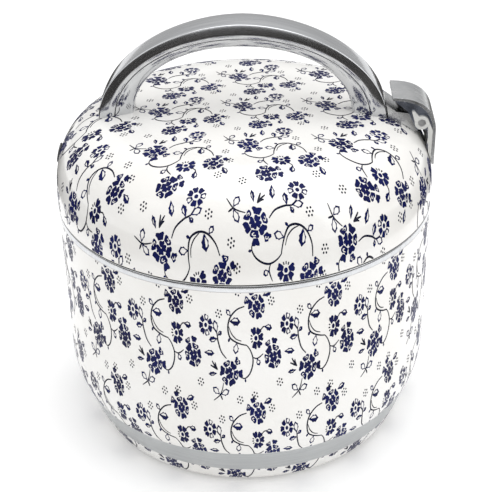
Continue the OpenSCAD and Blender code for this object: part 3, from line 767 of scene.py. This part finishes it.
def blob(start, end, width, teeth=0.0, steps=7):
    """Leaf outline along +x from start to end, toothed along its edges if asked."""
    side = []
    for i in range(1, steps):
        s = i / steps
        tooth = 1 + (teeth if i % 2 else -teeth)
        side.append((start + (end - start) * s,
                     width / 2 * tooth * math.sin(math.pi * s ** 1.25) ** 0.9))
    return [(start, 0)] + side + [(end, 0)] + [(x, -y) for x, y in reversed(side)]


# Half a petal above its foot, as fractions of its length and width: wide shoulder, notched tip.
# Then the white curl and the white heart that are left out of some petals.
PETAL = ((0.34, 0.4), (0.68, 0.5), (0.93, 0.43), (1.0, 0.2), (0.9, 0.05))
CURL = ((0.26, -0.1), (0.45, -0.28), (0.68, -0.27), (0.8, -0.05), (0.68, 0.16), (0.55, 0.1),
        (0.66, -0.04), (0.6, -0.15), (0.45, -0.14), (0.34, -0.02))
HEART = ((0.25, 0.08), (0.55, 0.28), (0.8, 0.24), (0.86, 0.0), (0.8, -0.24), (0.55, -0.28),
         (0.25, -0.08))


def petal(art, x, y, turn, start, end, width, kind="solid", foot=0.28):
    """Petal along the direction turn; a curl or open one has a white shape left out of it."""
    length = end - start
    wobble = PETAL_WOBBLE * min(length, width)
    half = [(start + length * u, width * v) for u, v in ((0.0, foot), *PETAL)]
    shape = [(u + art.random.uniform(-wobble, wobble), v + art.random.uniform(-wobble, wobble))
             for u, v in half + [(u, -v) for u, v in reversed(half)]]
    loops = [placed(shape, x, y, turn)]
    white = {"solid": (), "curl": CURL, "open": HEART}[kind]
    if white:
        loops.append(placed([(start + length * u, width * v) for u, v in white], x, y, turn))
    art.add(loops)


def leaf(art, x, y, turn, length, width, kind="open"):
    """Toothed leaf, outlined, with one half or all of it filled if asked."""
    loops = [placed(blob(0, length, width, LEAF_TEETH), x, y, turn)]
    white = blob(1.0, length - 1.2, width - 2 * LEAF_EDGE)
    if kind == "half":
        upper = [(u, v) for u, v in white if v > 0.01]
        white = [(upper[0][0], LEAF_RIB)] + upper + [(upper[-1][0], LEAF_RIB)]
    if kind != "solid":
        loops.append(placed(white, x, y, turn))
    art.add(loops)


def stroke(art, points, width=0.62, step=1.6):
    """Pen line through points, thin at both ends."""
    line = spline([Vector(p) for p in points], step)
    left, right = [], []
    for i, here in enumerate(line):
        along = (line[min(i + 1, len(line) - 1)] - line[max(i - 1, 0)]).normalized()
        across = Vector((-along.y, along.x))
        taper = 0.7 + 0.5 * math.sin(math.pi * i / (len(line) - 1))
        left.append(here + across * width / 2 * taper)
        right.append(here - across * width / 2 * taper)
    first = len(art.points)
    for a, b in zip(left, right):
        art.points += [tuple(a), tuple(b)]
    for i in range(len(line) - 1):
        a = first + 2 * i
        art.faces += [[a, a + 1, a + 3], [a, a + 3, a + 2]]
        art.black += [True, True]


def spline(points, step):
    """Catmull-Rom curve through points, with a point about every step."""
    ends = [2 * points[0] - points[1]] + points + [2 * points[-1] - points[-2]]
    line = []
    for a, b, c, d in zip(ends, ends[1:], ends[2:], ends[3:]):
        count = max(2, round((c - b).length / step))
        for i in range(count):
            t = i / count
            line.append(0.5 * (2 * b + (c - a) * t + (2 * a - 5 * b + 4 * c - d) * t ** 2
                               + (3 * b - a - 3 * c + d) * t ** 3))
    return line + [points[-1]]


def dot(art, x, y, r, black=True, sides=7):
    """Round spot, as a polygon."""
    ring = [(x + r * math.cos(math.tau * i / sides), y + r * math.sin(math.tau * i / sides))
            for i in range(sides)]
    art.add([ring], black)


def dots(art, x, y, r=1.9, size=0.56):
    """Six dots round a seventh."""
    dot(art, x, y, size)
    for i in range(6):
        a = math.radians(60 * i + 15)
        dot(art, x + r * math.cos(a), y + r * math.sin(a), size)


def bloom(art, x, y, r, turn):
    """Full flower: four petals round the heart, six round those, two more on the side of turn."""
    first = len(art.points)
    wobble = art.random.uniform
    for i in range(4):
        petal(art, x, y, turn + 45 + 90 * i + wobble(-8, 8), 0.05 * r, 0.52 * r, 0.56 * r, foot=0.1)
    for i in range(6):
        kind = "curl" if i % 2 else "solid"
        petal(art, x, y, turn + 30 + 60 * i + wobble(-4, 4), 0.56 * r, r * wobble(1.0, 1.12),
              0.86 * r, kind, foot=0.3)
    for side, kind in ((-21, "solid"), (21, "curl")):
        petal(art, x, y, turn + side + wobble(-3, 3), 1.13 * r, r * wobble(1.56, 1.68), 0.72 * r,
              kind)
    art.flatten(first, y)


def small_flower(art, x, y, r, petals, turn, open_petals=()):
    """Ring of petals round a solid heart, with some of the petals open."""
    first = len(art.points)
    dot(art, x, y, 0.22 * r, black=False, sides=HEART_SIDES)
    for i in range(petals):
        kind = "open" if i in open_petals else "solid"
        petal(art, x, y, turn + 360 * i / petals, 0.42 * r, r, 0.86 * r * 5 / petals, kind)
    art.flatten(first, y)


def star_flower(art, x, y, r, turn):
    """Five petals round a heart, with three pen strokes in the gap between two of them."""
    first = len(art.points)
    dot(art, x, y, 0.24 * r, black=False, sides=HEART_SIDES)
    for a in (-150, -95, -40, 15, 155):
        petal(art, x, y, turn + a, 0.36 * r, r * 1.05, 0.72 * r)
    for a in (60, 85, 110):
        tip = placed([(0.5 * r, 0), (0.78 * r, 0)], x, y, turn + a)
        stroke(art, tip, 0.7, 0.6)
    art.flatten(first, y)


def draw_repeat():
    """One repeat of the print: three blooms and two small flowers, joined by
    stems with leaves, and groups of dots between them."""
    art = Print()
    bloom(art, -0.6, 0.8, 6.7, 292)
    stroke(art, [(-6.0, 5.0), (-9.5, 6.0), (-12.8, 7.8), (-16.0, 12.5)])
    leaf(art, -12.5, 8.0, 52, 6.2, 3.6, "open")
    leaf(art, -12.6, 7.2, 292, 6.8, 3.6, "open")
    stroke(art, [(-12.6, 7.6), (-15.4, 6.2)], 0.9)
    leaf(art, -1.0, 9.4, 97, 6.4, 2.3, "half")
    for tip in ((3.2, 14.0), (5.6, 12.8), (4.8, 10.6)):
        stroke(art, [(1.0, 9.0), (0.5 * tip[0] + 0.8, 0.5 * tip[1] + 5.0), tip], 0.85, 1.2)
    stroke(art, [(7.2, 2.4), (10.8, 6.0), (17.0, 8.2), (20.4, 8.6), (23.2, 11.4)], 0.8)
    small_flower(art, 24.2, 16.4, 5.6, 7, 40, open_petals=(3, 6))
    leaf(art, 17.5, 8.4, 99, 6.2, 3.2, "half")
    leaf(art, 20.6, 8.6, 14, 6.8, 3.6, "open")
    leaf(art, 19.2, 8.0, 308, 3.6, 2.4, "half")
    dots(art, 30.5, 7.0)
    stroke(art, [(14.4, -12.0), (14.9, -8.4), (16.4, -3.6), (18.8, -0.2), (23.8, 0.8), (28.8, -1.0),
                 (32.8, -5.8), (34.4, -11.0)], 0.85)
    stroke(art, [(16.6, -8.4), (17.6, -4.8), (20.4, -1.6), (24.0, 0.2)], 0.55)
    leaf(art, 15.8, -5.2, 168, 6.4, 3.8, "open")
    leaf(art, 26.8, -0.4, 268, 7.8, 4.4, "half")
    leaf(art, 18.4, -0.6, 148, 2.8, 1.5, "solid")
    leaf(art, 29.4, -1.4, 42, 4.6, 2.8, "open")
    bloom(art, 34.2, -19.4, 6.0, 48)
    leaf(art, 39.4, -23.6, 290, 6.6, 3.4, "half")
    star_flower(art, 18.0, -18.6, 5.6, 10)
    stroke(art, [(21.4, -21.6), (23.6, -23.6), (23.8, -25.8)], 0.6)
    leaf(art, 23.8, -24.6, 258, 5.6, 3.4, "half")
    stroke(art, [(14.4, -12.0), (12.2, -14.2), (8.0, -16.2), (3.6, -16.0), (-1.0, -13.8),
                 (-3.4, -10.4), (-2.8, -8.0)], 0.8)
    leaf(art, -3.2, -10.6, 186, 2.4, 1.3, "solid")
    stroke(art, [(8.0, -16.2), (7.2, -18.6), (7.8, -20.8), (9.6, -23.6)], 0.65)
    leaf(art, 7.2, -19.2, 205, 4.2, 3.0, "open")
    bloom(art, 7.6, -30.8, 6.3, 12)
    leaf(art, 9.8, -38.6, 268, 7.6, 3.2, "half")
    for x, y in ((41.8, -6.6), (44.0, -17.4), (36.6, -29.6), (-6.4, -35.4)):
        dots(art, x, y)
    return art


class Surface:
    """Maps a distance along a lathe curve to radius, height and outward normal."""

    def __init__(self, rows):
        rows = np.array(rows)
        self.r, self.z = rows[:, 0], rows[:, 1]
        lengths = np.hypot(np.diff(self.r), np.diff(self.z))
        self.at = np.concatenate([[0], np.cumsum(lengths)])

    def put(self, at, turn, lift):
        """Points at distance at along the curve and angle turn round the axis, lifted off it."""
        step = 0.05 * MM
        r, z = np.interp(at, self.at, self.r), np.interp(at, self.at, self.z)
        dr = np.interp(at + step, self.at, self.r) - np.interp(at - step, self.at, self.r)
        dz = np.interp(at + step, self.at, self.z) - np.interp(at - step, self.at, self.z)
        length = np.hypot(dr, dz)
        r, z = r - lift * dz / length, z + lift * dr / length
        return np.stack([r * np.cos(turn), r * np.sin(turn), z], axis=1)


def cut_box(bm, low, high):
    """Cuts out of a mesh what lies in a box between two corners."""
    low, high = Vector(low), Vector(high)
    reach = Vector((CUT_REACH, CUT_REACH, CUT_REACH))
    for axis in range(3):
        for at in (low[axis], high[axis]):
            near = [f for f in bm.faces if in_box(f.calc_center_median(), low - reach, high + reach)]
            edges = list(dict.fromkeys(e for f in near for e in f.edges))
            verts = list(dict.fromkeys(v for f in near for v in f.verts))
            normal = Vector((axis == 0, axis == 1, axis == 2))
            bmesh.ops.bisect_plane(bm, geom=near + edges + verts, plane_co=normal * at,
                                   plane_no=normal)
    gone = [f for f in bm.faces if in_box(f.calc_center_median(), low, high)]
    bmesh.ops.delete(bm, geom=gone, context="FACES")


def in_box(point, low, high):
    """True if a point is in a box between two corners."""
    return all(a <= p <= b for p, a, b in zip(point, low, high))


def print_piece(name, body, parts, heights, openings=()):
    """Makes one piece of ink film from (points, faces, black) parts, cut off at the lowest and
    the highest of two heights and at the openings, which are boxes."""
    low, high = heights
    points = np.concatenate([p for p, _, _ in parts])
    starts = np.cumsum([0] + [len(p) for p, _, _ in parts[:-1]])
    faces = np.concatenate([f + s for (_, f, _), s in zip(parts, starts)])
    black = np.concatenate([b for _, _, b in parts])
    keep = np.any((points[faces][:, :, 2] > low) & (points[faces][:, :, 2] < high), axis=1)
    mesh = bpy.data.meshes.new(name)
    mesh.from_pydata(points.tolist(), [], faces[keep].tolist())
    obj = piece(name, mesh, body, INK)
    mesh.materials.append(BLACK_INK)
    mesh.polygons.foreach_set("material_index", black[keep].astype(np.int32))
    bm = bmesh.new()
    bm.from_mesh(mesh)
    for z, up in ((low, -1), (high, 1)):
        bmesh.ops.bisect_plane(bm, geom=bm.verts[:] + bm.edges[:] + bm.faces[:],
                               plane_co=(0, 0, z), plane_no=(0, 0, up), clear_outer=True)
    for corners in openings:
        cut_box(bm, *corners)
    bmesh.ops.delete(bm, geom=[v for v in bm.verts if not v.link_faces], context="VERTS")
    bm.to_mesh(mesh)
    bm.free()
    solidify(obj, FILM + FILM_SUNK)
    smooth(obj, angle=50)


def opening_box(side, half, low, high, margin=0.5 * MM):
    """Corners of a box round an opening at the latch's side (1) or the hinge's (-1)."""
    far, near = BODY_R * 1.1 * side, BODY_R * 0.6 * side
    return ((min(far, near), -half - margin, low - margin),
            (max(far, near), half + margin, high + margin))


def make_lid_print(flat, faces, black):
    """Lays the lattice of repeats over the lid, by distance from its middle along its surface."""
    past_edge = (BODY_R, SEAM_Z - 20 * MM)
    lid = Surface(lid_curve(steps=400, crown_steps=60) + [past_edge])
    parts = []
    c, s = math.cos(math.radians(LID_TURN)), math.sin(math.radians(LID_TURN))
    for i in LID_COLUMNS:
        for j in LID_ROWS:
            u = (flat[:, 0] / REPEAT + i * MM) * LID_REPEAT
            v = (flat[:, 1] / REPEAT + j * MM) * LID_REPEAT
            x = LID_FIRST[0] + c * u - s * v
            y = LID_FIRST[1] + s * u + c * v
            far = np.hypot(x, y)
            stretched = far * (1 + LID_STRETCH * (far / LID_STRETCH_R) ** 2)
            parts.append((lid.put(stretched, np.arctan2(y, x), FILM), faces, black))
    openings = [opening_box(1, *CLAW_SLOT), opening_box(-1, *HINGE_NOTCH)]
    print_piece("lid_print", "lid", parts, LID_PRINT, openings)


def make_body_print(flat, faces, black):
    """Stands the columns of repeats round the body's wall and the base pan's rim."""
    wall = [(BODY_R, SEAM_Z)] + turn_in_curve(steps=60)
    past_rim = (RIM_R - 10 * MM, RIM_LOW - 24 * MM)
    body = Surface(wall + [(BAND_LOW_R, BAND_LOW), (RIM_R, RIM_LOW), past_rim])
    rim_middle = np.interp(-(RIM_LOW + BAND_LOW) / 2, -body.z, body.at)
    wide = math.tau * BODY_R / BODY_COLUMNS / (REPEAT * MM)
    for half, side in (("front", -1), ("back", 1)):
        wall_parts, rim_parts = [], []
        for i in range(BODY_COLUMNS):
            column = math.radians(BODY_FIRST) + math.tau * i / BODY_COLUMNS
            if math.sin(column) * side < 0:
                continue
            turn = column - flat[:, 1] * wide / BODY_R
            along = -flat[:, 0] * BODY_TALL
            for j in BODY_ROWS:
                at = BODY_DROP + along + REPEAT * MM * BODY_TALL * j
                wall_parts.append((body.put(at, turn, FILM), faces, black))
            rim_parts.append((body.put(rim_middle + along, turn, FILM), faces, black))
        print_piece("body_print_" + half, "body", wall_parts, WALL_PRINT,
                    [opening_box(1, *PANEL_WINDOW)])
        print_piece("base_print_" + half, "body", rim_parts, RIM_PRINT)


def make_print():
    """Draws one repeat and lays it on the lid, the body and the base pan's rim."""
    art = draw_repeat()
    flat = np.array(art.points) * MM
    make_lid_print(flat, np.array(art.faces), np.array(art.black))
    make_body_print(flat, np.array(art.faces), np.array(art.black))


# ---- fittings, carried over from the frame ----

# Width of the broken edges, and the nodes that get each
FINE_EDGE = 0.25 * MM
SOFT_EDGE = 0.5 * MM
WIRE_EDGE = 0.05 * MM
CHEEK_SET_IN = 0.3 * MM
SIDEWAYS = 0.9
FINISHED = {
    FINE_EDGE: ["latch_bracket", "latch_pin", "latch_arm", "hinge_bracket", "hinge_leaf",
                "hinge_pin", "strike_plate", "steam_cap", "inlet_housing", "control_panel",
                "collar", "lid_liner", "inner_lid", "lid_gasket", "inner_pot", "base_screws",
                "leaf_screws", "inlet_pins"],
    SOFT_EDGE: ["cooking_key", "feet", "cook_lamp", "warm_lamp"],
}


def mark_cheeks(bm):
    """Gives the latch cover's cheeks, which sit back in shade, the second material: chrome with that
    shade painted into its colour.
    """
    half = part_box("latch_cover")[1][1]
    for face in bm.faces:
        sideways = abs(face.normal.y) > SIDEWAYS
        set_in = abs(face.calc_center_median().y) < half - CHEEK_SET_IN
        face.material_index = int(sideways and set_in)


def make_thermostat_spring():
    """Coil under the thermostat's cap, refined and given a mesh of its own."""
    spring = refined("thermostat_spring", WIRE_EDGE)
    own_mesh(spring)


def make_fittings():
    """Refines the fittings that show, and gives every node that keeps its CAD shape a material."""
    for bevel, nodes in FINISHED.items():
        for node in nodes:
            refined(node, bevel)
    # the cheeks get the chrome with painted shade
    refined("latch_cover", SOFT_EDGE, mark=mark_cheeks, second=PAINTED_SHADE_CHROME)
    make_thermostat_spring()
    for node, obj in frame["nodes"].items():
        obj.data.materials.clear()
        obj.data.materials.append(MATERIALS[SLOT_OF[node]])


# ---- stage ----

FLOOR_HALF = 8.0  # far past what the camera sees
FLOOR_GLOW = 0.12
LIGHTS_AIM = Vector((0, 0, 0.12))
SKY_STRENGTH = 0.95
SKY_STEPS = ((0.2, 0.55), (0.75, 1.0))  # height in the sky and grey level there
CARD_IN_R, CARD_OUT_R = 0.42, 1.3
CARD_SIDES = 96
# Name, place, size in metres and power in watts
LIGHTS = (("top_light", (0.1, 0.2, 1.7), (1.4, 1.4), 12),
          ("left_light", (-1.3, -0.9, 0.9), (0.8, 1.4), 2.5),
          ("right_light", (1.3, -0.7, 0.8), (0.8, 1.4), 5))


def staged(name, mesh, material):
    """Puts a mesh in the scene as part of the stage, not of the cooker."""
    obj = bpy.data.objects.new(name, mesh)
    bpy.context.scene.collection.objects.link(obj)
    mesh.materials.append(material)
    return obj


def make_floor():
    """Pale floor that glows a little, so that it comes out white like the photo's ground."""
    half = FLOOR_HALF
    mesh = bpy.data.meshes.new("floor")
    mesh.from_pydata([(-half, -half, 0), (half, -half, 0), (half, half, 0), (-half, half, 0)],
                     [], [(0, 1, 2, 3)])
    pale = Finish("floor")
    pale.colour(pale.noise(3), (0.93, 0.93, 0.93), (0.95, 0.95, 0.95))
    pale.shader.inputs["Emission Color"].default_value = (1, 1, 1, 1)
    pale.shader.inputs["Emission Strength"].default_value = FLOOR_GLOW
    pale.roughness(pale.noise(5), 0.85, 0.9)
    staged("floor", mesh, pale.mat)


def area_light(name, at, size, power):
    """Rectangular light turned to the cooker."""
    data = bpy.data.lights.new(name, "AREA")
    data.shape = "RECTANGLE"
    data.size, data.size_y = size
    data.energy = power
    light = bpy.data.objects.new(name, data)
    light.location = at
    light.rotation_euler = (LIGHTS_AIM - Vector(at)).to_track_quat("-Z", "Y").to_euler()
    bpy.context.scene.collection.objects.link(light)


def make_world():
    """Sky that is white overhead and greyer towards the horizon."""
    world = bpy.data.worlds.new("world")
    bpy.context.scene.world = world
    world.use_nodes = True
    nodes, links = world.node_tree.nodes, world.node_tree.links
    place = nodes.new("ShaderNodeTexCoord")
    split = nodes.new("ShaderNodeSeparateXYZ")
    ramp = nodes.new("ShaderNodeValToRGB")
    for element, (at, level) in zip(ramp.color_ramp.elements, SKY_STEPS):
        element.position = at
        element.color = (level, level, level, 1)
    links.new(place.outputs["Generated"], split.inputs["Vector"])
    links.new(split.outputs["Z"], ramp.inputs["Fac"])
    links.new(ramp.outputs["Color"], nodes["Background"].inputs["Color"])
    nodes["Background"].inputs["Strength"].default_value = SKY_STRENGTH


def make_reflected_card():
    """Dark ring just above the floor that only reflections show."""
    rows = [(CARD_IN_R, 1 * MM), (CARD_OUT_R, 1 * MM)]
    mesh = lathe("reflected_card", rows, segments=CARD_SIDES)
    dark = Finish("card")
    dark.colour(dark.noise(7, detail=4.0), (0.006, 0.005, 0.004), (0.12, 0.11, 0.105), 0.45, 0.8)
    dark.roughness(dark.noise(5), 0.8, 0.9)
    card = staged("reflected_card", mesh, dark.mat)
    card.visible_camera = False
    card.visible_diffuse = False
    card.visible_shadow = False


def make_lights():
    """Soft studio light, shown without a film look."""
    for name, at, size, power in LIGHTS:
        area_light(name, at, size, power)
    settings = bpy.context.scene.view_settings
    settings.view_transform = "Standard"
    settings.look = "None"


make_camera()
make_shells()
make_bands()
make_handle()
make_print()
make_fittings()
make_floor()
make_world()
make_reflected_card()
make_lights()
